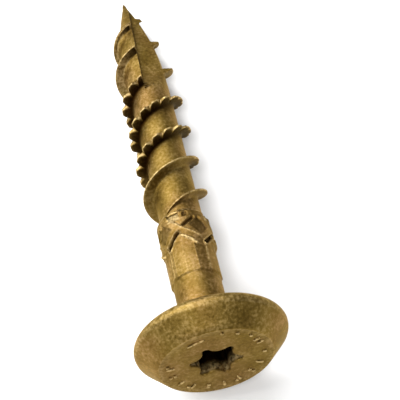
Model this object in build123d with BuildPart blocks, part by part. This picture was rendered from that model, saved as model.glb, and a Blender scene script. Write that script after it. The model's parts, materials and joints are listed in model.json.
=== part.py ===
"""Washer-head structural lag screw for timber, 8 mm nominal: one cold-formed and rolled piece.

The screw is built standing on its head: the flat face of the head is at Z = 0 and the point is at
the top. At the end it is laid down the way it rests, on the rim of the head and on its thread.
Lengths are in millimetres and angles in degrees.
"""
import os
from math import asin, atan2, cos, degrees, hypot, radians, sin, tan

from build123d import *

os.makedirs("parts", exist_ok=True)

# Head
head_radius = 8.2
rim_round = 0.8                 # radius of the rounded rim
rim_steps = 2                   # narrow cones that make up each half of the rounding
rim_height = 2.6                # the widest circle, above the flat face
face_radius = 6.04              # the flat face, inside the sloping flank
face_round = 0.35
face_steps = 2
bearing_height = 3.4            # underside of the head, which pulls the timber together
neck_fillet = 0.45
neck_steps = 2

# Hexalobular recess
lobes = 6
lobe_circle = 2.8               # out to the tips of the lobes
lobe_radius = 0.45
web_radius = 1.19               # rounded webs between the lobes
web_centre = 3.165
lobe_base = 2.5                 # the circle that the webs are taken from
recess_depth = 3.2
drill_radius = 1.95
drill_point = 0.8               # cone below the recess
drill_taper = 60
recess_turn = 12

# Shank, ribs and reamer
shank_radius = 2.63
rib_start = 9.7
rib_end = 14.4
rib_count = 13
rib_radius = 2.81
rib_turn = -156
ream_start = 13.3
ream_end = 18.2
ream_radius = 2.95
ream_slope = 0.6                # length of the cone at each end
ream_step = 0.05                # what is left of the barrel above the root
crosses = 4                     # crossed cuts around the reamer
cross_turn = -178.6
cut_places = ((57, 14.5), (106, 16.5))      # angle and height of the two open cuts of a cross
cut_length = 2.9
cut_width = 0.55
cut_end = 0.2                   # length of the narrowing at each end
cut_floor = 2.4
cut_rise = 47
bar_place = (82, 15.7)          # angle and height of the bar that crosses them
bar_length = 6.2
bar_width = 0.34
bar_radius = 3.08
bar_rise = -50

# Root and point
root_radius = 2.42
length = 53.9
taper_start = 41.0              # the root curves in towards the point from here
taper_power = 1.8
tip_radius = 0.08
bend_start = 38                 # the point leans to one side from here
bend_at_tip = 0.45

# Thread, two starts
starts = 2
thread_radius = 3.7
lead = 9.38
first_ridge = 21.4              # height of the first start's ridge at angle 0
crest_width = 0.2
steep_flank = 11                # flank towards the head, off square
point_flank = 20                # flank towards the point, off square
edge_width = 0.04               # least width of a strip where the thread has faded out
foot_width = 0.1
root_fillet = 0.3
fillet_share = 0.4              # most that the fillet takes of the thread's height
run_out_start = -108            # turn at which the thread rises out of the root
run_out_turn = 95
stretch_span = (34, 46)         # over these heights the ridges move up to their new places
stretch_rise = 0.82
fade_start = 37                 # the crest curves in towards the point from here
fade_end = 54.3
fade_power = 2.2
run_outs = ((51.0, 53.5), (46.5, 49.5))     # heights over which each start dies away
half_turn = 180
rail_step = 45
lead_in_spans = 3               # spans before the thread rises, inside the shank
span_marks = 15

# Serrations in the thread
notch_count = 14                # in each turn
notch_phases = (19.1, 6.9)      # turn of the first notch, for each start
notch_profile = ((0.06, 2.84), (0.42, 3.5), (0.92, 3.96))       # (half width, radius)
notch_before = 0.8
notch_after = 0.75
notched = (25.0, 37.7)          # heights between which the thread is notched

# Cutting flute along the point: a wall, and a floor that falls away from it
flute_turn = -92
flute_lean = 0.98               # the flute runs a little across the axis
flute_offset = -0.87
flute_slope = 20                # floor, off square with the wall
flute_floor = (                 # (depth from the axis at the wall, height)
    (3.9, 36.4), (2.5, 37.7), (2.0, 39.2), (1.8, 41.0), (1.5, 44.0), (0.9, 48.0), (0.3, 51.5), (-0.4, 55.0),
)
flute_width = 6
flute_reach = 8

# Lying at rest: the side that is underneath, and the axis tipped down towards the point
rest_turn = 97.4
rest_tilt = 6.83


def eased(value, low, high):
    """Smooth step from 0 at the low value to 1 at the high one."""
    share = min(1, max(0, (value - low) / (high - low)))
    return share * share * (3 - 2 * share)


def core_at(height):
    """Radius of the root cylinder and of the rounded taper to the point."""
    share = min(1, max(0, (height - taper_start) / (length - taper_start)))
    return max(root_radius * (1 - share ** taper_power), tip_radius)


def crest_at(height, start):
    """Radius of the thread's crest, which curves in and dies away towards the point."""
    share = min(1, max(0, (height - fade_start) / (fade_end - fade_start)))
    crest = thread_radius * (1 - share ** fade_power)
    rise = max(crest - core_at(height), 0)
    return core_at(height) + rise * (1 - eased(height, *run_outs[start]))


def ridge_at(turn):
    """Height of a start's ridge after a turn."""
    height = first_ridge + lead * turn / 360
    return height + stretch_rise * eased(height, *stretch_span)


def bend_at(height):
    """How far the rod's centre line has leant to one side."""
    share = min(1, max(0, (height - bend_start) / (length - bend_start)))
    return bend_at_tip * share


def polar(radius, angle, height):
    return Vector(radius * cos(radians(angle)), radius * sin(radians(angle)), height)


def leaned(radius, angle, height):
    """Point about the rod's own centre line, which leans to one side towards the point."""
    return polar(radius, angle, height) - Vector(bend_at(height), 0, 0)


def section_at(turn, start):
    """Corners of the section, as (radius, height), from the thread's foot on the head side.

    The last is halfway along the root, towards the next ridge.
    """
    ridge = ridge_at(turn)
    grown = eased(turn, run_out_start, run_out_start + run_out_turn)
    rise = (crest_at(ridge, start) - core_at(ridge)) * grown
    fillet_size = min(root_fillet, fillet_share * rise)
    head_crest = ridge - crest_width / 2
    point_crest = ridge + crest_width / 2
    head_flank = head_crest - edge_width - tan(radians(steep_flank)) * (rise - fillet_size)
    head_foot = head_flank - foot_width - fillet_size
    point_foot = point_crest + foot_width + tan(radians(point_flank)) * rise
    middle = (ridge + ridge_at(turn + 360 / starts)) / 2
    return (
        (core_at(head_foot), head_foot),
        (core_at(head_flank) + fillet_size, head_flank),
        (core_at(head_crest) + rise, head_crest),
        (core_at(point_crest) + rise, point_crest),
        (core_at(point_foot), point_foot),
        (core_at(middle), middle),
    )


def corner_at(turn, corner, start):
    radius, height = section_at(turn, start)[corner]
    return leaned(radius, turn + start * 360 / starts, height)


def rail(span, corner, start):
    """Smooth edge that follows one corner of a start's section over a span of half a turn."""
    count = half_turn // rail_step
    low, high = span
    turns = [low + rail_step * index for index in range(count + 1)]
    small = 0.01
    tangents = [
        (corner_at(turn + small, corner, start) - corner_at(turn - small, corner, start))
        * (half_turn / (2 * small))
        for turn in (low, high)
    ]
    return Edge.make_spline(
        [corner_at(turn, corner, start) for turn in turns],
        tangents=tangents,
        parameters=[index / count for index in range(count + 1)],
        scale=False,
    )


def threaded_rod():
    """Root, point and both starts of the thread as one closed shell of ruled faces.

    Each start's section is a row of rails, and the root is ruled from the last rail of one start
    to the first rail of the other. Both ends are closed by a winding ramp and one upright face,
    far enough out that they are trimmed away or lie inside the shank.
    """
    first = run_out_start - lead_in_spans * half_turn
    turns = [first + half_turn * index for index in range(span_marks)]
    spans = [list(zip(turns, turns[1:])), list(zip(turns[1:-1], turns[2:-1]))]
    last = len(section_at(first, 0)) - 1
    rails = {}
    for start in range(starts):
        for span in spans[start]:
            for corner in range(last + 1):
                rails[start, span, corner] = rail(span, corner, start)
    faces = []
    for start in range(starts):
        other = 1 - start
        for span in spans[start]:
            for corner in range(last):
                strip = (rails[start, span, corner], rails[start, span, corner + 1])
                faces.append(Face.make_surface_from_curves(*strip))
            following = (span[0] + half_turn, span[1] + half_turn)
            if following in spans[other]:
                strip = (rails[start, span, last], rails[other, following, 0])
                faces.append(Face.make_surface_from_curves(*strip))
    open_rails = [(span, 0) for span in spans[0][:2]] + [(span, last) for span in spans[0][-2:]]
    for span, corner in open_rails:
        heights = [section_at(turn, 0)[corner][1] for turn in span]
        axis = Edge.make_line(*[leaned(0, 0, height) for height in heights])
        faces.append(Face.make_surface_from_curves(axis, rails[0, span, corner]))
    low, high = turns[0], turns[-1]
    bottom = [corner_at(low, corner, 0) for corner in range(last + 1)]
    bottom += [corner_at(low + half_turn, corner, 1) for corner in range(last + 1)]
    bottom += [corner_at(low + 2 * half_turn, 0, 0)]
    top = [corner_at(high - 2 * half_turn, last, 0)]
    top += [corner_at(high - half_turn, corner, 1) for corner in range(last + 1)]
    top += [corner_at(high, corner, 0) for corner in range(last + 1)]
    for corners in (bottom, top):
        ends = [leaned(0, 0, corners[0].Z)] + corners + [leaned(0, 0, corners[-1].Z)]
        faces.append(Face(Wire.make_polygon(ends)))
    return Solid(Shell(faces))


def tangent_plane(radius, angle, height, rise):
    """Plane that touches the cylinder of a radius, its X axis rising across the surface."""
    around = Vector(-sin(radians(angle)), cos(radians(angle)), 0)
    along = around * cos(radians(rise)) + Vector(0, 0, sin(radians(rise)))
    return Plane(origin=polar(radius, angle, height), x_dir=along, z_dir=polar(1, angle, 0))


def arc_points(centre, radius, first, last, steps):
    """Points on an arc, its angles taken from straight down (towards the head) and outwards."""
    angles = [radians(first + (last - first) * step / steps) for step in range(steps + 1)]
    return [(centre[0] + radius * sin(angle), centre[1] - radius * cos(angle)) for angle in angles]


with BuildPart() as bars:
    # Bars that cross the reamer's cuts, trimmed to a cylinder
    for cross in range(crosses):
        angle = cross_turn + bar_place[0] + cross * 360 / crosses
        with BuildSketch(tangent_plane(root_radius, angle, bar_place[1], bar_rise)):
            Rectangle(bar_length, bar_width)
        extrude(amount=head_radius - root_radius)
    Cylinder(bar_radius, length, align=(Align.CENTER, Align.CENTER, Align.MIN), mode=Mode.INTERSECT)

with BuildPart() as notches:
    # One cutter for each notch, along the axis, that leaves teeth with sloping shoulders
    outline = [(radius, width) for width, radius in notch_profile]
    outline += [(radius, -width) for width, radius in reversed(notch_profile)]
    notch_step = 360 / notch_count
    for start, phase in enumerate(notch_phases):
        first_notch = int((notched[0] - first_ridge) / lead * notch_count)
        last_notch = int((notched[1] - first_ridge) / lead * notch_count)
        for index in range(first_notch - 1, last_notch + 1):
            turn = phase + index * notch_step
            ridge = ridge_at(turn)
            if notched[0] < ridge < notched[1]:
                angle = turn + start * 360 / starts
                foot = Vector(0, 0, ridge - notch_before)
                with BuildSketch(Plane(origin=foot, x_dir=polar(1, angle, 0), z_dir=(0, 0, 1))):
                    with BuildLine():
                        Polyline(*outline, close=True)
                    make_face()
                extrude(amount=notch_before + notch_after)

with BuildPart() as lag_screw:
    # Head, shank and reamer, turned about the axis
    rim_centre = (head_radius - rim_round, rim_height)
    reach = hypot(rim_centre[0] - face_radius, rim_height)
    centre_slope = degrees(atan2(rim_height, rim_centre[0] - face_radius))
    flank_slope = centre_slope - degrees(asin(rim_round / reach))
    face_centre = (face_radius - face_round * tan(radians(flank_slope / 2)), face_round)
    neck_centre = (shank_radius + neck_fillet, bearing_height + neck_fillet)
    with BuildSketch(Plane.XZ):
        with BuildLine():
            Polyline(
                (0, 0),
                *arc_points(face_centre, face_round, 0, flank_slope, face_steps),
                *arc_points(rim_centre, rim_round, flank_slope, 90, rim_steps),
                *arc_points(rim_centre, rim_round, 90, 180, rim_steps)[1:],
                *arc_points(neck_centre, neck_fillet, 0, -90, neck_steps),
                (shank_radius, ream_start),
                (ream_radius, ream_start + ream_slope),
                (ream_radius, ream_end - ream_slope),
                (root_radius + ream_step, ream_end),
                (0, ream_end),
                close=True,
            )
        make_face()
    revolve(axis=Axis.Z)

    # Flat-sided ribs below the reamer, and the bars that cross it
    with BuildSketch(Plane.XY.offset(rib_start)):
        RegularPolygon(rib_radius, rib_count, rotation=rib_turn)
    extrude(amount=rib_end - rib_start)
    add(bars.part)

    # Open cuts of the reamer
    for cross in range(crosses):
        for angle, height in cut_places:
            spread = cross_turn + angle + cross * 360 / crosses
            half = (cut_length / 2, cut_width / 2)
            shoulder = half[0] - cut_end
            with BuildSketch(tangent_plane(cut_floor, spread, height, cut_rise)):
                with BuildLine():
                    Polyline(
                        (-half[0], 0), (-shoulder, half[1]), (shoulder, half[1]),
                        (half[0], 0), (shoulder, -half[1]), (-shoulder, -half[1]),
                        close=True,
                    )
                make_face()
            extrude(amount=bar_radius - cut_floor, mode=Mode.SUBTRACT)

    # Hexalobular recess
    with BuildSketch() as recess:
        Circle(lobe_base)
        with PolarLocations(web_centre, lobes, start_angle=recess_turn + 180 / lobes):
            Circle(web_radius, mode=Mode.SUBTRACT)
        with PolarLocations(lobe_circle - lobe_radius, lobes, start_angle=recess_turn):
            Circle(lobe_radius)
    extrude(amount=recess_depth, mode=Mode.SUBTRACT)
    with BuildSketch(Plane.XY.offset(recess_depth)):
        Circle(drill_radius)
    extrude(amount=drill_point, taper=drill_taper, mode=Mode.SUBTRACT)

    # Threaded rod, trimmed to length, then notched and fluted
    trim = Solid.make_box(20, 20, length - rib_start, Plane((-10, -10, rib_start)))
    add(threaded_rod().intersect(trim))
    add(notches.part, mode=Mode.SUBTRACT)
    across = polar(1, flute_turn + 90, 0)
    wall_normal = across * cos(radians(flute_lean)) - Vector(0, 0, sin(radians(flute_lean)))
    wall = Plane(origin=across * flute_offset, x_dir=polar(1, flute_turn, 0), z_dir=-wall_normal)
    with BuildSketch(wall):
        with BuildLine():
            (_, low), (_, high) = flute_floor[0], flute_floor[-1]
            Polyline(*flute_floor, (flute_reach, high), (flute_reach, low), close=True)
        make_face()
    extrude(amount=flute_width, dir=polar(1, flute_turn + 90 + flute_slope, 0), mode=Mode.SUBTRACT)

# Laid down with the point towards +Y, standing on Z = 0, centred over the origin
down = polar(cos(radians(rest_tilt)), rest_turn, sin(radians(rest_tilt)))
laid = Plane(origin=(0, 0, 0), x_dir=down.cross(Vector(0, 0, 1)), z_dir=-down)
lying = laid.to_local_coords(lag_screw.part)
box = lying.bounding_box()
lying = lying.moved(Location((-box.center().X, -box.center().Y, -box.min.Z)))

lying.label = "lag_screw"
export_step(lying, "parts/lag_screw.step")
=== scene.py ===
import json
import bmesh
import bpy
import numpy as np
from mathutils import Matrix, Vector


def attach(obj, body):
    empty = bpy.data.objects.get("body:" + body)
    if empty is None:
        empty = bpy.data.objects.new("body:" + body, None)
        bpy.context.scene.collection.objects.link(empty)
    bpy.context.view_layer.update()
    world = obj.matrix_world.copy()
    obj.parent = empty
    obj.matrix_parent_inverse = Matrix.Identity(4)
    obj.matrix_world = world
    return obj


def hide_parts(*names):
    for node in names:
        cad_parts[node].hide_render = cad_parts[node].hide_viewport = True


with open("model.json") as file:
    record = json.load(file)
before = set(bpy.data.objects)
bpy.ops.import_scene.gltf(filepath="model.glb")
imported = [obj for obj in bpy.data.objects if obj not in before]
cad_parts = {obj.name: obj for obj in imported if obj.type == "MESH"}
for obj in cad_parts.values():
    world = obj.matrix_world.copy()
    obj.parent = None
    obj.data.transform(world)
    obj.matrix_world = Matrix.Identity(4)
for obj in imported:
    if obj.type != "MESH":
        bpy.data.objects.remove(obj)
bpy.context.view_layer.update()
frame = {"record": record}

# A washer-head lag screw with a mottled bronze coating, lying on a pale floor.
# The screw's own frame has its axis along z, the CAD head's flat face at z = 0 and the point at
# the top. Shapes are worked out there in millimetres, and laid down where the CAD body lies.

# Where the screw lies: the recess's mount is the centre of the flat face, and points out of it.
opening = next(mount for mount in frame["record"]["mounts"] if mount["name"] == "drive_recess")
rest = {
    "turn": 97.4,       # side that is underneath, degrees about the axis
}


def radiansOf(degrees):
    # degrees * pi / 180
    return np.asarray(degrees) * np.pi / 180


def polar(radius, angle, height):
    # point at a radius and an angle in degrees about the axis: x = radius * cos, y = radius * sin
    spread = radiansOf(angle)
    x, y, z = np.broadcast_arrays(radius * np.cos(spread), radius * np.sin(spread), height)
    return np.stack([x, y, z], axis=-1)


def ease(share):
    # smooth step from 0 to 1: share^2 * (3 - 2 * share)
    share = np.clip(share, 0, 1)
    return share * share * (3 - 2 * share)


def rising(value, low, high):
    # 0 up to low, 1 from high on, and a smooth step between them
    return ease((value - low) / (high - low))


def within(value, low, high, edge):
    # 1 between low and high, with a smooth step as wide as the edge inside each, and 0 outside
    return ease((value - low) / edge) * ease((high - value) / edge)


def layDown(points):
    # Turn the screw's frame so that the resting side points down and the tip points to +y, with
    # the axis dropping towards the tip as the mount's does, and put the face's centre on the mount.
    turn, tilt = radiansOf(rest["turn"]), np.arcsin(opening["axis"][2])
    down = np.array([np.cos(turn) * np.cos(tilt), np.sin(turn) * np.cos(tilt), np.sin(tilt)])
    across = np.cross(down, [0, 0, 1])
    across = across / np.linalg.norm(across)
    forward = np.cross(-down, across)
    millimetre = 0.001
    return points @ np.array([across, forward, -down]).T * millimetre + np.array(opening["pos_m"])


def tubeFaces(rows, columns, shift):
    # quads of a rows x columns grid whose last column joins the first, shifted up by some rows
    row, column = np.meshgrid(np.arange(rows - 1), np.arange(columns), indexing="ij")
    nextColumn = (column + 1) % columns
    climb = np.where(column + 1 == columns, shift, 0)
    keep = row + 1 + climb < rows
    row, column, nextColumn, climb = row[keep], column[keep], nextColumn[keep], climb[keep]
    return np.stack([
        row * columns + column,
        (row + climb) * columns + nextColumn,
        (row + 1 + climb) * columns + nextColumn,
        (row + 1) * columns + column,
    ], axis=-1)


# Threaded rod. Heights are along the axis, and a turn is in degrees.
thread = {
    "root": 2.42,
    "radius": 3.7,
    "lead": 9.38,
    "firstRidge": 21.4,
    "crest": 0.1,           # half the crest's width
    "crestRound": 0.03,
    "steep": 11,            # flank towards the head, off square
    "pointFlank": 20,
    "foot": 0.34,           # radius of the hollow at the foot of the steep flank
    "tail": 0.22,           # and at the foot of the other
    "widen": (43, 49, 0.19, 0.3),   # between these heights crest and hollows widen by so much
    "runOutStart": -170,    # turn at which the thread rises out of the root
    "runOutEnd": 20,        # and at which it is full
    "stretch": (34, 46, 0.82),      # over these heights the ridges move up by so much
    "fade": (37, 54.3, 2.2),        # the crest curves in between these heights, and the power
    "runOuts": ((51.0, 53.5), (46.5, 49.5)),    # heights between which each start dies away
    "from": 17.6,           # lower end of the rod, inside the reamer
    "length": 53.9,         # height of the tip
    "seam": -269.17,        # angle of the grid's first column
    "columns": 266,         # 19 for each tooth, so that each gap's middle has one
    "bands": 13,
    "rowGap": 0.006,        # keeps rows apart where the ridge is low
    # shares of the way along each stretch of the ridge's section at which its rows lie
    "footRows": (0, 0.25, 0.5, 0.75, 1),
    "steepRows": (0.35, 0.68, 0.92),
    # for the crest, shares of its half width and of crestRound by which the row drops
    "crestRows": ((-0.85, 0.4), (-0.4, 0), (0.4, 0), (0.85, 0.4)),
    "slopeRows": (0, 0.35, 0.7, 1),
    "tailRows": (0.3, 0.65, 1),
    "rootRows": 7,
    "lowRidge": 0.4,        # under this height the crest gets narrower and flatter
    "shoulder": 0.02,       # between the crest and the sloping flank
    # most of the rise that a hollow takes, and how much more of it the foot may take at the point
    "footShare": (0.45, 0.3),
}
point = {
    "start": 41.0,
    "power": 1.8,
    "nose": (0.22, 0.4),    # radius and length of the rounded end
    "bendStart": 38,
    "bend": 0.45,           # how far the point leans towards angle 180
}
notches = {
    "count": 14,            # in each turn
    "phases": (19.1, 6.9),  # first start, second start
    "floor": 2.75,          # radius at the bottom of a gap
    "top": 3.82,            # and at the top of a tooth, where the crest is lower than that
    "round": 1.35,          # 1 is a gap with a sharp bottom, and more is rounder
    "rise": (-0.35, 0.6),   # from this distance past the ridge the floor rises by up to so much
    "shallow": (-38, 60, 25, 0.42),     # angles of the less deep ones, how soon they change, lift
    "before": 0.8,          # they reach this far from the ridge towards the head
    "after": 0.75,          # and this far towards the point
    "from": 25.0,           # heights between which the ridges have them
    "to": 37.7,
}
flute = {
    "turn": -92,            # angle that its floor faces
    "offset": -0.87,        # of its wall from the axis, at z = 0
    "lean": 0.98,           # of its wall, off the axis
    "slope": 20,            # of its floor, falling away from the wall
    "height": (36.4, 37.7, 39.2, 41.0, 44.0, 48.0, 51.5, 55.0),
    # distance of the floor from the axis at each of those heights
    "floor": (3.9, 2.5, 2.0, 1.8, 1.5, 0.9, 0.3, -0.4),
}
rodTones = {
    # A share for each row: hollow foot 5, steep flank 3, crest 4, sloping flank 4, tail 3, root 7.
    # The darkening is painted shade in the hollows and on the steep flank, which faces away from the
    # light, and the root's follows the next ridge. The crest's brightening is rubbed wear and painted
    # highlight, and a painted highlight, the glint, is added near the point.
    "paintedShade": (0.5, 0.8, 0.95, 1, 1, 0.95, 0.85, 0.6) + 5 * (0,) + (0.05, 0.1, 0.15, 0.2, 0.15, 0.05),
    "nextPaintedShade": (0, 0, 0, 0, 0, 0.08, 0.25),
    "wearAndHighlight": 7 * (0,) + (0.2, 0.6, 0.8, 0.8, 0.6, 0.3) + 13 * (0,),
    "glint": 3 * (0,) + 5 * (0.35,) + 18 * (0,),
    "shadeFade": (37.5, 40, 0.85),      # between these heights the painted shade in the hollows fades by so much
    "nextShadeFade": (33, 35.5, 0.85),  # and the root's painted shade does
    "glintFrom": (38.5, 41),
    "plainRidge": 0.3,              # share of the painted shade where the ridge has no notches
    "toothed": 1.5,                 # length over which it grows to all of it
    "gap": (0.4, 0.85),             # a gap this deep has so much less painted shade
    "besideFlute": (40, 38, 39.5, 0.95),    # degrees, heights and share of the painted shade on the flank beside it
    "fluteCorner": (0.2, 0.75),     # width and share of the painted shade line in the flute
}


def coreRadius(z):
    # root cylinder, then root * (1 - share^power) towards the point, with a rounded nose
    share = np.clip((z - point["start"]) / (thread["length"] - point["start"]), 0, 1)
    wide, long = point["nose"]
    nose = wide * np.sqrt(np.clip((thread["length"] - z) / long, 0, 1))
    return np.maximum(thread["root"] * (1 - share ** point["power"]), nose)


def crestRise(z, start):
    # height of the crest over the root: it curves in as share^power, and eases out at the end
    low, high, power = thread["fade"]
    share = np.clip((z - low) / (high - low), 0, 1)
    rise = np.maximum(thread["radius"] * (1 - share ** power) - coreRadius(z), 0)
    first, second = [1 - rising(z, *ends) for ends in thread["runOuts"]]
    return rise * np.where(start == 0, first, second)


def stretched(z):
    # z + most * smooth step between the two heights
    low, high, rise = thread["stretch"]
    return z + rise * rising(z, low, high)


def bendAt(z):
    # how far the axis has moved over: bend * share of the way from where it starts to the tip
    start = point["bendStart"]
    return point["bend"] * np.clip((z - start) / (thread["length"] - start), 0, 1)


def sectionAt(plainRidge, start):
    # Ridge height, rise of the crest, radius of the hollow foot, and distance from the ridge to
    # the foot of the steep flank: half the crest + height of the flank * tan of its slope.
    turn = (plainRidge - thread["firstRidge"]) * 360 / thread["lead"]
    ridge = stretched(plainRidge)
    rise = crestRise(ridge, start) * rising(turn, thread["runOutStart"], thread["runOutEnd"])
    near, far, _, hollower = thread["widen"]
    toPoint = rising(ridge, near, far)
    most, more = thread["footShare"]
    foot = np.minimum(thread["foot"] + hollower * toPoint, (most + more * toPoint) * rise)
    steep = radiansOf(thread["steep"])
    low = -thread["crest"] - (rise - foot * (1 - np.sin(steep))) * np.tan(steep)
    return ridge, rise, foot, low


def sectionRows(plainRidge, start, pitch):
    # Distance from the ridge and height over the root, row by row: hollow foot, steep flank,
    # rounded crest, sloping flank, hollow tail, and the root as far as the next ridge's foot.
    # Along a hollow of radius r the height is r * (1 - cos bend), and along a flank that is off
    # square by s the distance is height * tan s.
    ridge, rise, foot, low = sectionAt(plainRidge, start)
    steep, flank = radiansOf(thread["steep"]), radiansOf(thread["pointFlank"])
    share = np.minimum(rise / thread["lowRidge"], 1)
    near, far, wider, hollower = thread["widen"]
    toPoint = rising(ridge, near, far)
    crest = thread["crest"] + wider * toPoint * share
    rows = []
    for step in thread["footRows"]:
        bend = (np.pi / 2 - steep) * step
        rows.append((low - foot * (np.cos(steep) - np.sin(bend)), foot * (1 - np.cos(bend))))
    bottom = foot * (1 - np.sin(steep))
    for step in thread["steepRows"]:
        up = bottom + (rise - bottom) * step
        rows.append((-crest - (rise - up) * np.tan(steep), up))
    for side, drop in thread["crestRows"]:
        rows.append((crest * side, rise - thread["crestRound"] * drop * share))
    tail = np.minimum(thread["tail"] + hollower * toPoint, thread["footShare"][0] * rise)
    bottom = tail * (1 - np.sin(flank))
    top = rise - 2 * thread["crestRound"] * share
    for step in thread["slopeRows"]:
        up = top + (bottom - top) * step
        rows.append((crest + thread["shoulder"] + (top - up) * np.tan(flank), up))
    reach = rows[-1][0]
    for step in thread["tailRows"]:
        bend = (np.pi / 2 - flank) * (1 - step)
        rows.append((reach + tail * (np.cos(flank) - np.sin(bend)), tail * (1 - np.cos(bend))))
    rows = [(away + thread["rowGap"] * index, up) for index, (away, up) in enumerate(rows)]
    nextRidge, _, nextFoot, nextLow = sectionAt(plainRidge + pitch, 1 - start)
    nextLow = nextLow - nextFoot * np.cos(steep) + nextRidge - ridge
    edge = rows[-1][0]
    for step in np.arange(1, thread["rootRows"] + 1) / (thread["rootRows"] + 1):
        rows.append((edge + (nextLow - edge) * step, 0 * rise))
    return ridge, rise, rows


def rowTones(plainRidge, start, pitch, ridge, rise):
    # Painted shade for the hollows and the steep flank, and how bright the crest is painted, as rubbed
    # wear and painted highlight, row by row: each row's share times the ridge's height in millimetres,
    # which counts as 1 at most.
    grown = np.clip(rise, 0, 1)
    nextGrown = np.clip(sectionAt(plainRidge + pitch, 1 - start)[1], 0, 1)
    near, far, fainter = rodTones["shadeFade"]
    dark = grown * (1 - fainter * rising(ridge, near, far))
    near, far, fainter = rodTones["nextShadeFade"]
    nextDark = nextGrown * (1 - fainter * rising(ridge, near, far))
    bright = grown * rising(ridge, *rodTones["glintFrom"])
    paintedShade = [dark * share for share in rodTones["paintedShade"]]
    paintedShade += [nextDark * share for share in rodTones["nextPaintedShade"]]
    wearAndHighlight = [grown * share + bright * glint for share, glint in zip(rodTones["wearAndHighlight"], rodTones["glint"])]
    return np.stack(paintedShade, axis=1), np.stack(wearAndHighlight, axis=1)


def cutNotches(radius, up, plainRidge, start):
    # V-shaped gaps with a round bottom, and round-topped teeth between them: with s the share of
    # the way from the gap's middle to the tooth's, radius = floor + (top - floor) * sin(s * 90)^round,
    # and the floor rises from the flank on the head side towards the point.
    spacing = 360 / notches["count"]
    turn = (plainRidge - thread["firstRidge"]) * 360 / thread["lead"]
    phase = np.where(start == 0, *notches["phases"])
    away = (turn - phase + spacing / 2) % spacing - spacing / 2
    middle = stretched(plainRidge - thread["lead"] * away / 360)
    inside = (middle > notches["from"]) & (middle < notches["to"])
    share = np.abs(away) / (spacing / 2)
    near, far, edge, lift = notches["shallow"]
    angle = turn + np.where(start == 0, 0, 180)
    around = (angle - near + 180) % 360 - 180
    riseFrom, most = notches["rise"]
    floor = notches["floor"] + lift * within(around, 0, far - near, edge)[:, None, :]
    floor = floor + np.clip(up - riseFrom, 0, most)
    opened = (np.sin(share * np.pi / 2) ** notches["round"])[:, None, :]
    hit = inside[:, None, :] & (up > -notches["before"]) & (up < notches["after"])
    return np.where(hit, np.minimum(radius, floor + (notches["top"] - floor) * opened), radius)


def cutFlute(radius, angle, z):
    # With A the angle from the flute's direction, the wall is r sin A = wall, and the floor is
    # r (cos A + sin A tan slope) = floor + wall tan slope. The last uncut column moves onto the
    # wall, and the first cut one into the corner. Also gives each cut point's distance from the
    # wall, and -1 elsewhere.
    bend = bendAt(z)
    beyond = 9          # a floor so far out cuts nothing
    leant = z * np.tan(radiansOf(flute["lean"]))
    wall = flute["offset"] + leant + bend * np.cos(radiansOf(flute["turn"] + 90))
    floor = np.interp(z, flute["height"], flute["floor"], left=beyond)
    floor = floor + bend * np.cos(radiansOf(flute["turn"]))
    away = radiansOf(angle - flute["turn"])
    sine, slope = np.sin(away), np.tan(radiansOf(flute["slope"]))
    spread = np.cos(away) + sine * slope
    toFloor = np.where(spread > 0.02, (floor + wall * slope) / np.maximum(spread, 0.02), beyond)
    toWall = np.where(sine > 0.001, wall / np.maximum(sine, 0.001), 0)
    hit = (radius > toFloor) & (radius * sine > wall) & (floor < beyond - 1)
    cut = np.where(hit, np.maximum(np.maximum(toFloor, toWall), 0), radius)
    corner = hit & ~np.roll(hit, 1, axis=1)
    edge = np.roll(corner, -1, axis=1) & ~hit & (np.abs(wall) < radius)
    onWall = np.degrees(np.arcsin(np.clip(wall / np.maximum(radius, 0.001), -1, 1)))
    inCorner = np.degrees(np.arctan2(wall, floor))
    snapped = np.where(edge, onWall, np.where(corner, inCorner, np.degrees(away)))
    cut = np.where(corner, np.hypot(wall, floor), cut)
    shift = snapped - np.degrees(away)
    fromWall = np.where(hit, np.maximum(cut * np.sin(radiansOf(snapped)) - wall, 0), -1)
    onRoot = radius < 3         # only there does a moved point climb with the helix
    return cut, angle + shift, z + thread["lead"] * shift / 360 * onRoot, fromWall


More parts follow.
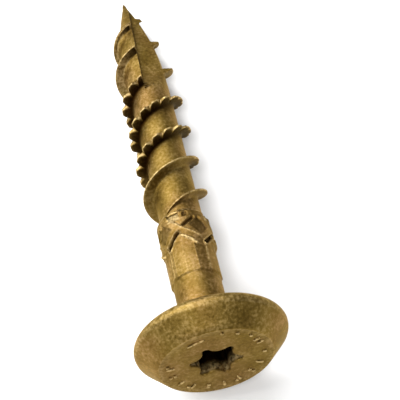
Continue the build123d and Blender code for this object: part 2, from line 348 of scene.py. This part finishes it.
def rodGrid():
    # The rod follows the helix: a band of rows is one ridge and the root up to the next ridge.
    # Ridge height = first ridge + half a lead * band + lead * angle / 360, so after one turn the
    # last column joins the band two above.
    pitch = thread["lead"] / 2
    columns, bands = thread["columns"], thread["bands"]
    angle = thread["seam"] + 360 * np.arange(columns) / columns
    band = np.arange(bands)[:, None]
    plainRidge = thread["firstRidge"] + pitch * (band - 4) + thread["lead"] * angle[None, :] / 360
    start = np.broadcast_to(band % 2, plainRidge.shape)
    ridge, rise, rows = sectionRows(plainRidge, start, pitch)
    paintedShade, wearAndHighlight = rowTones(plainRidge, start, pitch, ridge, rise)
    up = np.stack([low for low, high in rows], axis=1)
    z = ridge[:, None, :] + up
    uncut = coreRadius(z) + np.stack([high for low, high in rows], axis=1)
    radius = cutNotches(uncut, up, plainRidge, start)
    # painted shade: less where the ridge has no notches, and less in deep gaps
    toothed = rising(ridge, notches["from"], notches["from"] + rodTones["toothed"])[:, None, :]
    deep, fainter = rodTones["gap"]
    paintedShade = paintedShade * (rodTones["plainRidge"] + (1 - rodTones["plainRidge"]) * toothed)
    paintedShade = paintedShade * (1 - fainter * np.clip((uncut - radius) / deep, 0, 1))
    # painted shade on the flank beside the flute, and no painted highlight there
    wide, near, far, dark = rodTones["besideFlute"]
    beside = ease(1 - (flute["turn"] - angle) % 360 / wide) * rising(ridge, near, far)
    paintedShade[:, 2:8] = np.maximum(paintedShade[:, 2:8], dark * beside[:, None, :])
    wearAndHighlight[:, 2:8] = wearAndHighlight[:, 2:8] * (1 - beside[:, None, :])
    shape = (bands * len(rows), columns)
    z, radius, paintedShade, wearAndHighlight = [values.reshape(shape) for values in (z, radius, paintedShade, wearAndHighlight)]
    radius, spread, z, fromWall = cutFlute(radius, np.broadcast_to(angle, shape), z)
    # painted shade along the flute's wall, and no wear or painted highlight inside the flute
    wide, dark = rodTones["fluteCorner"]
    paintedShade = np.where(fromWall >= 0, dark * np.exp(-fromWall / wide), paintedShade)
    wearAndHighlight = np.where(fromWall >= 0, 0, wearAndHighlight)
    low, high = thread["from"], thread["length"]
    radius = np.where((z < low) | (z > high), 0, radius)
    z = np.clip(z, low, high)
    points = polar(radius, spread, z)
    points[..., 0] -= bendAt(z)
    return points.reshape(-1, 3), tubeFaces(shape[0], columns, 2 * len(rows)), paintedShade.ravel(), wearAndHighlight.ravel()


# Head, shank and reamer.
head = {
    "radius": 8.2,
    "rimRound": 0.8,
    "rimHeight": 2.6,
    "faceRadius": 6.04,
    "faceRound": 0.35,
    "faceSink": 0.12,       # the face lies this far in from z = 0
    "bearingHeight": 3.4,
    "neckFillet": 0.45,
    "shankRadius": 2.63,
    "columns": 210,
    # shares of the way along each stretch at which its rings lie, and rings in each rounded edge
    "faceRings": (0.1, 0.25, 0.45, 0.65, 0.85),
    "flankRings": (0.2, 0.4, 0.6, 0.8),
    "bearingRings": (0.3, 0.6, 0.85),
    "shankRings": (5.4, 7.0, 8.6),  # heights
    "faceEdgeRings": 5,
    "rimRings": 15,
    "neckRings": 6,
    # painted shade over the face, and how bright its rounded edge is painted, as wear and painted highlight
    "faceDark": 0.2,
    "edgeWearAndHighlight": 0.2,
    "rimHighlight": (0.15, 0.2),     # width of the rim's edge that gets painted highlight, and its share
}
recess = {
    "lobeCircle": 2.8,
    "lobeRadius": 0.45,
    "lobeHalf": 10.07,      # degrees from a lobe's middle to where it meets the web
    "webRadius": 1.19,
    "webCentre": 3.165,
    "depth": 3.2,
    "drillRadius": 1.9,
    "drillDepth": 4.0,
    "edge": 0.2,
    "turn": 12,
    "draft": 0.02,          # share by which the outline is smaller at the bottom of the walls
    "coneRings": (0, 0.3, 0.6, 1),
    "floorRings": (0.93, 0.97),
    "wallRings": (0, 0.15, 0.35, 0.55, 0.75, 0.92),
    "edgeRings": 5,
    "dark": (0.7, 1.6),     # the walls get painted shade between these depths
    "wearAndHighlight": (0.8, 1.5, 1.3),        # painted highlight down to the first depth, less to the second, and how much
}
ribs = {
    "start": 9.7,
    "end": 14.4,
    "ends": 0.2,            # length over which they rise and fall
    "before": 0.1,          # the shank's last ring lies so far from them
    "count": 13,
    "radius": 2.81,
    "turn": -156,
    "flat": 0.35,           # how flat the ribs are
    "edge": (0.03, 0.08, 0.15),     # height and width of their edges, and how much painted highlight they get
}
reamer = {
    "start": 13.3,
    "end": 18.2,
    "radius": 2.95,
    "slope": 0.6,
    "crosses": 4,
    "turn": -178.6,
    # angle, height, rise, length, width and depth of the open cuts of a cross, and their lips
    "cuts": (
        (60.6, 14.2, 41, 2.4, 0.44, 0.42, 0.08),
        (104, 16.25, 36, 1.9, 0.42, 0.3, 0.02),
        (99.3, 17.25, 60, 0.75, 0.5, 0.26, 0),
    ),
    # angle, height, rise, length, width and height of the bars across them
    "bars": (
        (72.7, 16.35, -50, 2.5, 0.16, 0.1),
        (107.1, 14.75, -34, 2.5, 0.12, 0.09),
        (98, 13.9, -37, 2.3, 0.26, 0.16),
        (132, 11.9, 87, 4.2, 0.2, 0.05),
    ),
    # angle, half width, lower end, upper end of the shine, length of the slope and fall of a flat
    "facet": (71.5, 0.8, 16.5, 17.6, 1.2, 0.28),
    "rim": (17.95, 0.09, 0.04),     # place along the axis, half width and height of a raised edge
    "sink": (128, 15.75, 1.35, 1.35, 0.22),     # angle, height, half sizes and depth of a diamond
    "dark": (2.56, 2.86),   # cuts get painted shade up to the first radius and none from the second
    "darkFrom": (13.5, 13.7),       # heights between which the painted shade begins
    "darkTo": (17.65, 17.75),       # and between which it ends
    "underFacet": 0.1,      # least left over the root under a flat
    "rimEnds": 1.3,         # the raised edge dies out at so many of its half widths
    # how wide the sloping sides are, a diamond's as a share of its size
    "sides": {"facet": 0.15, "sink": 0.12, "bar": 0.08, "barEnd": 0.2, "cut": 0.16},
    "outside": 0.04,        # the sides of bars and cuts start this far outside their outlines
    "lip": (0.1, 0.08),     # a lip's distance from the cut's outline, and its width
    # how much painted highlight each gets: bars and lips for each millimetre of their height
    "rubbedAndHighlight": {"facet": 0.9, "rim": 0.7, "bar": 8, "lip": 6},
    "shineEnds": 0.2,       # length over which a flat's shine begins and ends
    "rows": 92,
}
marks = {
    "radius": 4.85,
    "height": 0.14,
    # angle, distance out from the ring, length along and across it
    "plain": (
        (-108, 0.05, 2.1, 0.2), (-76, 0.5, 0.4, 0.34), (-58, 0.45, 0.45, 0.3), (-40, 0.45, 0.42, 0.34),
        (-28, 0.3, 0.3, 0.85), (-20, 0.25, 0.3, 0.85), (4, 0.2, 0.34, 0.5),
    ),
    "row": (28, 190, 9),    # bars between these angles, and how many
    "bar": (0.32, 0.95),    # length along and across the ring
    "dot": (0.42, 0.36),
    "pair": (0.28, -0.24),  # distances out from the ring of every third place's two dots
    "beside": (5, 0.3),     # angle and distance out of a dot beside every second bar
    "stagger": 0.04,        # how much further out the bar of every second place stands
    "square": 0.6,          # 1 is an oval dome, and less is squarer
    "columns": 12,
    "rows": 7,
    # how bright the marks are painted, as wear and painted highlight on their domes
    "wearAndHighlight": 0.7,
}


def recessRadius(angle):
    # six-lobed outline: round lobe tips joined by arcs that bulge inwards, each from the distance
    # of its centre c and its radius r as c cos a + sqrt(r^2 - (c sin a)^2), or minus for the webs
    away = np.abs((angle - recess["turn"] + 30) % 60 - 30)
    lobeCentre = recess["lobeCircle"] - recess["lobeRadius"]
    lobe = radiansOf(away)
    inLobe = np.maximum(recess["lobeRadius"] ** 2 - (lobeCentre * np.sin(lobe)) ** 2, 0)
    lobeEdge = lobeCentre * np.cos(lobe) + np.sqrt(inLobe)
    web = radiansOf(30 - away)
    inWeb = np.maximum(recess["webRadius"] ** 2 - (recess["webCentre"] * np.sin(web)) ** 2, 0)
    webEdge = recess["webCentre"] * np.cos(web) - np.sqrt(inWeb)
    return np.where(away < recess["lobeHalf"], lobeEdge, webEdge)


def recessRings(angle):
    # Radius and height of the drill cone, the flat floor, walls with a slight draft, a rounded edge
    # and the face. The edge is a quarter circle: out by edge * (1 - cos), in by edge * (1 - sin).
    outline = recessRadius(angle)
    drill, deep, floor = recess["drillRadius"], recess["drillDepth"], recess["depth"]
    edge = recess["edge"]
    top = head["faceSink"] + edge
    rings = []
    for share in recess["coneRings"]:
        rings.append((0 * outline + drill * share, deep - (deep - floor) * share))
    rings += [(outline * share, floor) for share in recess["floorRings"]]
    for share in recess["wallRings"]:
        rings.append((outline * (1 - recess["draft"] * (1 - share)), floor + (top - floor) * share))
    for bend in np.linspace(0, np.pi / 2, recess["edgeRings"]):
        rings.append((outline + edge * (1 - np.cos(bend)), head["faceSink"] + edge * (1 - np.sin(bend))))
    reach = outline + edge
    for share in head["faceRings"]:
        out = reach + (head["faceRadius"] - head["faceRound"] - reach) * share
        rings.append((out, head["faceSink"]))
    return rings


def headRings():
    # Radius and height of the face's edge, the flank, the rim, the underside, the neck and the
    # shank. Rounded ones are arcs, centre + radius * (sin bend, -cos bend), and the flank is the
    # straight line that touches two of them.
    centre = head["radius"] - head["rimRound"]
    rise, run = head["rimHeight"], centre - head["faceRadius"]
    slope = np.arctan2(rise, run) - np.arcsin(head["rimRound"] / np.hypot(rise, run))
    leg = head["faceRound"] * np.tan(slope / 2)
    rings = []
    for share in np.linspace(0, 1, head["faceEdgeRings"]):
        bend = slope * share
        low = head["faceSink"] * (1 - share) + head["faceRound"] * (1 - np.cos(bend))
        rings.append((head["faceRadius"] - leg + head["faceRound"] * np.sin(bend), low))
    near = np.array(rings[-1])
    far = np.array([centre + head["rimRound"] * np.sin(slope), rise - head["rimRound"] * np.cos(slope)])
    rings += [tuple(near + (far - near) * share) for share in head["flankRings"]]
    for bend in np.linspace(slope, np.pi, head["rimRings"]):
        rings.append((centre + head["rimRound"] * np.sin(bend), rise - head["rimRound"] * np.cos(bend)))
    neck = head["shankRadius"] + head["neckFillet"]
    for share in head["bearingRings"]:
        rings.append((centre + (neck - centre) * share, head["bearingHeight"]))
    for bend in np.linspace(0, np.pi / 2, head["neckRings"]):
        low = head["bearingHeight"] + head["neckFillet"] * (1 - np.cos(bend))
        rings.append((neck - head["neckFillet"] * np.sin(bend), low))
    rings += [(head["shankRadius"], z) for z in (*head["shankRings"], ribs["start"] - ribs["before"])]
    return rings


def headGrid():
    # Rings from the bottom of the recess to the end of the reamer, each with a radius for every
    # column. With them, how much painted shade each place gets, and how bright it is painted as wear
    # and painted highlight, from its ring, radius or height.
    columns = head["columns"]
    angle = 360 * np.arange(columns) / columns
    inner = recessRings(angle)
    rings = inner + headRings()
    rubbedAndHighlight = []
    for z in np.linspace(ribs["start"], reamer["end"], reamer["rows"]):
        ribbed, bright = withReamer(angle, z, *ribbedShank(angle, z))
        rings.append((ribbed, z))
        rubbedAndHighlight.append(bright)
    rings += [(thread["root"] * share, reamer["end"]) for share in (0.9, 0.0)]
    radius = np.stack([np.broadcast_to(r, columns) for r, z in rings])
    z = np.stack([np.broadcast_to(z, columns) for r, z in rings])
    paintedShade, wearAndHighlight = np.zeros(radius.shape), np.zeros(radius.shape)
    face = len(inner)       # first ring of the face's edge
    walls = face - len(head["faceRings"]) - recess["edgeRings"]     # first of the recess's edge
    # painted shade deep in the recess, and painted highlight on its walls near the face
    low, high, most = recess["wearAndHighlight"]
    paintedShade[:walls] = rising(z[:walls], *recess["dark"])
    wearAndHighlight[:walls] = most * (1 - rising(z[:walls], low, high))
    # painted shade from the recess's rounded edge across the face
    paintedShade[walls + 1:face + 2] = head["faceDark"]
    # the face's rounded edge painted brighter, as wear and painted highlight
    wearAndHighlight[face:face + 4] = head["edgeWearAndHighlight"]
    # painted highlight round the rim's edge
    wide, share = head["rimHighlight"]
    wearAndHighlight = np.where(radius > head["radius"] - wide, share, wearAndHighlight)
    # painted shade in the reamer's cuts
    cut = 1 - rising(radius, *reamer["dark"])
    cut = cut * rising(z, *reamer["darkFrom"]) * (1 - rising(z, *reamer["darkTo"]))
    paintedShade = np.maximum(paintedShade, cut)
    # painted highlight on the ribs' edges and the reamer
    wearAndHighlight[-2 - reamer["rows"]:-2] = rubbedAndHighlight
    points = polar(radius, angle[None, :], z).reshape(-1, 3)
    return points, tubeFaces(len(rings), columns, 0), paintedShade.ravel(), wearAndHighlight.ravel()


def ribbedShank(angle, z):
    # Round shank, and flat-sided ribs on it with fine raised edges, whose height goes as
    # exp(-(distance / width)^2). Also the painted highlight along those edges.
    sector = 360 / ribs["count"]
    high, wide, bright = ribs["edge"]
    away = radiansOf((angle - ribs["turn"]) % sector - sector / 2)
    flat = ribs["radius"] * np.cos(radiansOf(sector / 2)) / np.cos(away)
    corner = (radiansOf(sector / 2) - np.abs(away)) * ribs["radius"]
    corner = np.exp(-(corner / wide) ** 2)
    flat = ribs["radius"] - (ribs["radius"] - flat) * ribs["flat"] + high * corner
    onRibs = within(z, ribs["start"], ribs["end"], ribs["ends"])
    shank = head["shankRadius"]
    return shank + np.maximum(flat - shank, 0) * onRibs, bright * corner * onRibs


def withReamer(angle, z, radius, rubbedAndHighlight):
    # The reamer's barrel, with its flats, diamonds, bars and open cuts. Each adds its height or
    # takes off its depth, times a smooth step of the distance from its outline, and a lip goes as
    # exp(-(distance / width)^2).
    # The brightening passed in and given back is painted highlight: on the ribs' edges, the flat, the
    # raised edge, the bars and the lips, and none inside the cuts.
    sides, shine = reamer["sides"], reamer["rubbedAndHighlight"]
    near = (z - reamer["start"]) / reamer["slope"]
    far = (reamer["end"] - z) / reamer["slope"]
    low = head["shankRadius"] if near < far else thread["root"]
    barrel = low + (reamer["radius"] - low) * min(near, far, 1)
    rubbedAndHighlight = rubbedAndHighlight * (radius > barrel)
    radius = np.maximum(radius, barrel)
    step = 360 / reamer["crosses"]

    def around(place):
        # distance round the barrel from the nearest of the like places
        return radiansOf((angle - reamer["turn"] - place + step / 2) % step - step / 2) * reamer["radius"]

    def turned(place, height, slant):
        # distances along and across a line that climbs round the barrel at a slant
        x, y = around(place), z - height
        tilt = radiansOf(slant)
        return np.abs(x * np.cos(tilt) + y * np.sin(tilt)), np.abs(y * np.cos(tilt) - x * np.sin(tilt))

    place, half, lower, upper, run, fall = reamer["facet"]
    onFacet = ease((half - np.abs(around(place))) / sides["facet"])
    fallen = radius - fall * np.clip((z - lower) / run, 0, 1) * onFacet
    radius = np.maximum(fallen, np.minimum(radius, thread["root"] + reamer["underFacet"]))
    rubbedAndHighlight = rubbedAndHighlight + shine["facet"] * onFacet * within(z, lower, upper, reamer["shineEnds"])
    height, half, high = reamer["rim"]
    onRim = ease(reamer["rimEnds"] - abs(z - height) / half)
    radius = radius + high * onRim
    rubbedAndHighlight = rubbedAndHighlight + shine["rim"] * onRim
    place, height, across, up, deep = reamer["sink"]
    diamond = 1 - np.abs(around(place)) / across - abs(z - height) / up
    radius = radius - deep * ease(diamond / sides["sink"])
    for place, height, slant, long, wide, high in reamer["bars"]:
        length, width = turned(place, height, slant)
        onBar = ease((wide / 2 + reamer["outside"] - width) / sides["bar"])
        onBar = onBar * ease((long / 2 - length) / sides["barEnd"])
        radius = radius + high * onBar
        rubbedAndHighlight = rubbedAndHighlight + min(shine["bar"] * high, 1) * onBar
    lipAway, lipWide = reamer["lip"]
    for place, height, slant, long, wide, deep, lip in reamer["cuts"]:
        length, width = turned(place, height, slant)
        away = np.hypot(np.maximum(length - long / 2 + wide / 2, 0), width)
        onLip = np.exp(-((away - wide / 2 - lipAway) / lipWide) ** 2)
        inCut = ease((wide / 2 + reamer["outside"] - away) / sides["cut"])
        radius = radius + lip * onLip - deep * inCut
        rubbedAndHighlight = np.where(away < wide / 2, 0, rubbedAndHighlight + shine["lip"] * lip * onLip)
    return radius, np.clip(rubbedAndHighlight, 0, 1)


def markPlaces():
    # Angle, distance out from the ring, and length along and across it of each mark. The row's
    # places are evenly spaced: every third has two dots, and the others have a bar.
    first, last, count = marks["row"]
    dotLong, dotWide = marks["dot"]
    places = list(marks["plain"])
    for index, angle in enumerate(np.linspace(first, last, count)):
        if index % 3 == 1:
            places += [(angle, out, dotLong, dotWide) for out in marks["pair"]]
        else:
            places.append((angle, marks["stagger"] * (index % 2), *marks["bar"]))
        if index % 3 == 2:
            turn, out = marks["beside"]
            places.append((angle + turn, out, dotLong, dotWide))
    return places


def markGrid():
    # Plain raised marks in a ring on the face, each a flattened dome: with u and v its two angles,
    # x, y and z go as cos u cos v, sin u cos v and sin v, each to a power that makes it squarer.
    columns, rows = marks["columns"], marks["rows"]
    around = np.linspace(0, 2 * np.pi, columns, endpoint=False)
    upward = np.linspace(-np.pi / 2, np.pi / 2, rows)
    u, v = np.meshgrid(around, upward)

    def rounded(value):
        # the value's sign, and its size to the power
        return np.sign(value) * np.abs(value) ** marks["square"]

    points, faces = [], []
    for number, (angle, out, long, wide) in enumerate(markPlaces()):
        along = rounded(np.cos(u)) * rounded(np.cos(v)) * long / 2
        radius = marks["radius"] + out + rounded(np.sin(u)) * rounded(np.cos(v)) * wide / 2
        z = head["faceSink"] - marks["height"] * rounded(np.sin(v))
        turn = angle + np.degrees(along / (marks["radius"] + out))
        points.append(polar(radius, turn, z).reshape(-1, 3))
        faces.append(tubeFaces(rows, columns, 0) + number * u.size)
    points = np.concatenate(points)
    return points, np.concatenate(faces), np.zeros(len(points)), np.full(len(points), marks["wearAndHighlight"])


def meshFrom(name, parts):
    # one object from several parts of points, quads, painted-shade shares and shares of wear and painted
    # highlight, doubled corners merged
    points, faces, total = [], [], 0
    for corner, quad, _, _ in parts:
        points.append(corner)
        faces.append(quad + total)
        total += len(corner)
    points = layDown(np.concatenate(points))
    faces = np.concatenate(faces)
    mesh = bpy.data.meshes.new(name)
    mesh.from_pydata(points.tolist(), [], faces.tolist())
    # the painted shade, and the rubbed wear with painted highlight, as shares at the corners
    for label, column in (("paintedShade", 2), ("wearAndHighlight", 3)):
        layer = mesh.attributes.new(label, "FLOAT", "POINT")
        layer.data.foreach_set("value", np.concatenate([part[column] for part in parts]).astype(np.float32))
    piece = bpy.data.objects.new(name, mesh)
    bpy.context.scene.collection.objects.link(piece)
    closest = 1e-7      # metres, under which two corners are one
    shape = bmesh.new()
    shape.from_mesh(mesh)
    bmesh.ops.remove_doubles(shape, verts=shape.verts, dist=closest)
    bmesh.ops.dissolve_degenerate(shape, edges=shape.edges, dist=closest)
    bmesh.ops.recalc_face_normals(shape, faces=shape.faces)
    shape.to_mesh(mesh)
    shape.free()
    mesh.shade_smooth()
    sharpFrom = 38      # degrees between two faces
    mesh.set_sharp_from_angle(angle=float(radiansOf(sharpFrom)))
    return piece


print("rod and head")
screw = meshFrom("screw_body", [headGrid(), rodGrid(), markGrid()])
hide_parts("lag_screw")
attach(screw, "root")

# Coating. Each noise has its scale per metre, its detail and its roughness.
coat = {
    "dark": (0.119, 0.073, 0.013, 1),
    "middle": (0.194, 0.124, 0.027, 1),
    "light": (0.335, 0.230, 0.076, 1),
    "steps": (0.37, 0.5, 0.64),             # noise values of the three
    "brown": (1.0, 0.93, 1.15, 1),          # multiplies the colour in the browner areas
    "paintedShade": (0.07, 0.045, 0.025, 1),      # how much of the colour is left under full painted shade, in the hollows
    "wearAndHighlight": (0.66, 0.50, 0.24, 1),          # colour of rubbed crests and edges and of painted highlights
    "edgeTint": (0.95, 0.82, 0.6, 1),       # colour at grazing angles
    "metallic": 1.0,
    "roughness": (0.44, 0.62),              # least and most, by the flecks
    "areas": (170, 2, 0.5),
    "blotches": (420, 4, 0.6),
    "flecks": (3100, 3, 0.6),
    "grain": (5200, 2, 0.5),
    "fleckShare": 0.6,      # of the tone, against the blotches
    "wearAndHighlightFlecks": (0.15, 0.9),      # least and most wear and painted highlight, by the flecks
    "spread": (0.4, 0.6),   # noise values at which the browner areas and the wear and painted highlight are least and most
    "roughSpread": (0.35, 0.65),    # and the roughness
    "bump": 0.4,
    "bumpHeight": 0.00006,  # metres
}


def coating():
    # Two sizes of noise choose between three bronze tones, a wide one turns some areas browner, and
    # a fine one roughens the surface. The mesh's own shares paint shade into the hollows and onto
    # faces turned from the light, and brighten what stands out with rubbed wear and painted highlight.
    material = bpy.data.materials.new("bronze coating")
    material.use_nodes = True
    nodes, links = material.node_tree.nodes, material.node_tree.links
    shader = nodes["Principled BSDF"]
    shader.inputs["Metallic"].default_value = coat["metallic"]
    shader.inputs["Specular Tint"].default_value = coat["edgeTint"]
    place = nodes.new("ShaderNodeTexCoord")

    def noise(scale, detail, roughness):
        # noise over the object's own coordinates
        node = nodes.new("ShaderNodeTexNoise")
        node.inputs["Scale"].default_value = scale
        node.inputs["Detail"].default_value = detail
        node.inputs["Roughness"].default_value = roughness
        links.new(place.outputs["Object"], node.inputs["Vector"])
        return node.outputs["Fac"]

    def share(label):
        # a share that the mesh holds at each corner
        node = nodes.new("ShaderNodeAttribute")
        node.attribute_name = label
        return node.outputs["Fac"]

    def tint(blend, factor, base, colour):
        # the base colour, blended with another as far as the factor says
        node = nodes.new("ShaderNodeMix")
        node.data_type, node.blend_type = "RGBA", blend
        links.new(factor, node.inputs["Factor"])
        links.new(base, node.inputs[6])
        node.inputs[7].default_value = colour
        return node.outputs[2]

    def mapped(value, low, high, bottom, top):
        # bottom at low, top at high, and a straight line between them
        node = nodes.new("ShaderNodeMapRange")
        for name, number in (("From Min", low), ("From Max", high), ("To Min", bottom), ("To Max", top)):
            node.inputs[name].default_value = number
        links.new(value, node.inputs["Value"])
        return node.outputs["Result"]

    blotches = noise(*coat["blotches"])
    flecks = noise(*coat["flecks"])
    grain = noise(*coat["grain"])
    mixed = nodes.new("ShaderNodeMix")
    mixed.inputs["Factor"].default_value = coat["fleckShare"]
    links.new(blotches, mixed.inputs["A"])
    links.new(flecks, mixed.inputs["B"])
    tones = nodes.new("ShaderNodeValToRGB")
    ramp = tones.color_ramp
    low, middle, high = coat["steps"]
    ramp.elements[0].position, ramp.elements[0].color = low, coat["dark"]
    ramp.elements[1].position, ramp.elements[1].color = high, coat["light"]
    ramp.elements.new(middle).color = coat["middle"]
    links.new(mixed.outputs["Result"], tones.inputs["Fac"])
    # how far the wear and painted highlight shows, broken up by the flecks
    rubbedAndHighlight = nodes.new("ShaderNodeMath")
    rubbedAndHighlight.operation = "MULTIPLY"
    links.new(share("wearAndHighlight"), rubbedAndHighlight.inputs[0])
    links.new(mapped(flecks, *coat["spread"], *coat["wearAndHighlightFlecks"]), rubbedAndHighlight.inputs[1])
    areas = mapped(noise(*coat["areas"]), *coat["spread"], 0, 1)
    colour = tint("MULTIPLY", areas, tones.outputs["Color"], coat["brown"])
    # rubbed wear and painted highlight
    colour = tint("MIX", rubbedAndHighlight.outputs["Value"], colour, coat["wearAndHighlight"])
    # painted shade
    colour = tint("MULTIPLY", share("paintedShade"), colour, coat["paintedShade"])
    links.new(colour, shader.inputs["Base Color"])
    rough = mapped(flecks, *coat["roughSpread"], *coat["roughness"])
    links.new(rough, shader.inputs["Roughness"])
    bump = nodes.new("ShaderNodeBump")
    bump.inputs["Strength"].default_value = coat["bump"]
    bump.inputs["Distance"].default_value = coat["bumpHeight"]
    links.new(grain, bump.inputs["Height"])
    links.new(bump.outputs["Normal"], shader.inputs["Normal"])
    return material


print("coating")
screw.data.materials.append(coating())

# Floor, lights and camera, in metres.
stage = {
    "floorSize": 3,
    "floorColour": (0.85, 0.85, 0.85, 1),
    "floorRoughness": 0.8,
    # name, place, size and power
    "lights": (
        ("key", (-0.45, 0.25, 0.5), 0.6, 6.6),
        ("top", (-0.02, 0.34, 0.62), 0.5, 2.8),
        ("front", (-0.16, -0.3, 0.6), 0.2, 2.8),
    ),
    "lightAim": (0, 0, 0.005),
    "studio": 0.36,             # brightness all round
    "cameraPlace": (-0.0114056, -0.0728149, 0.1228398),
    "cameraAim": (0.0026263, -0.0057900, 0.006),
    "cameraRoll": -0.294,       # degrees
    "lens": 108,                # millimetres, on a sensor this wide
    "sensor": 36,
    "nearest": 0.005,           # what is closer to the camera isn't seen
}


def addFloor():
    # a flat square at z = 0, from -size to size both ways
    size = stage["floorSize"]
    mesh = bpy.data.meshes.new("floor")
    corners = [(-size, -size, 0), (size, -size, 0), (size, size, 0), (-size, size, 0)]
    mesh.from_pydata(corners, [], [(0, 1, 2, 3)])
    floor = bpy.data.objects.new("floor", mesh)
    bpy.context.scene.collection.objects.link(floor)
    material = bpy.data.materials.new("pale floor")
    material.use_nodes = True
    shader = material.node_tree.nodes["Principled BSDF"]
    shader.inputs["Base Color"].default_value = stage["floorColour"]
    shader.inputs["Roughness"].default_value = stage["floorRoughness"]
    mesh.materials.append(material)


def aimed(thing, place, aim):
    # stand a lamp or a camera at a place, looking at the aim
    thing.location = place
    thing.rotation_euler = (Vector(aim) - Vector(place)).to_track_quat("-Z", "Y").to_euler()
    bpy.context.scene.collection.objects.link(thing)


def addLight(name, place, size, power):
    # a square lamp at a place, turned to the screw
    light = bpy.data.lights.new(name, "AREA")
    light.energy = power
    light.size = size
    aimed(bpy.data.objects.new(name, light), place, stage["lightAim"])


def addCamera():
    # turned to its aim, then rolled about its own line of sight
    camera = bpy.data.cameras.new("camera")
    camera.sensor_width = stage["sensor"]
    camera.lens = stage["lens"]
    camera.clip_start = stage["nearest"]
    cameraObject = bpy.data.objects.new("camera", camera)
    aimed(cameraObject, stage["cameraPlace"], stage["cameraAim"])
    cameraObject.rotation_euler.rotate_axis("Z", float(radiansOf(stage["cameraRoll"])))
    bpy.context.scene.camera = cameraObject


print("stage")
addFloor()
for light in stage["lights"]:
    addLight(*light)
world = bpy.data.worlds.new("studio")
world.use_nodes = True
world.node_tree.nodes["Background"].inputs["Color"].default_value = (1, 1, 1, 1)
world.node_tree.nodes["Background"].inputs["Strength"].default_value = stage["studio"]
bpy.context.scene.world = world
addCamera()
bpy.context.scene.view_settings.view_transform = "Standard"
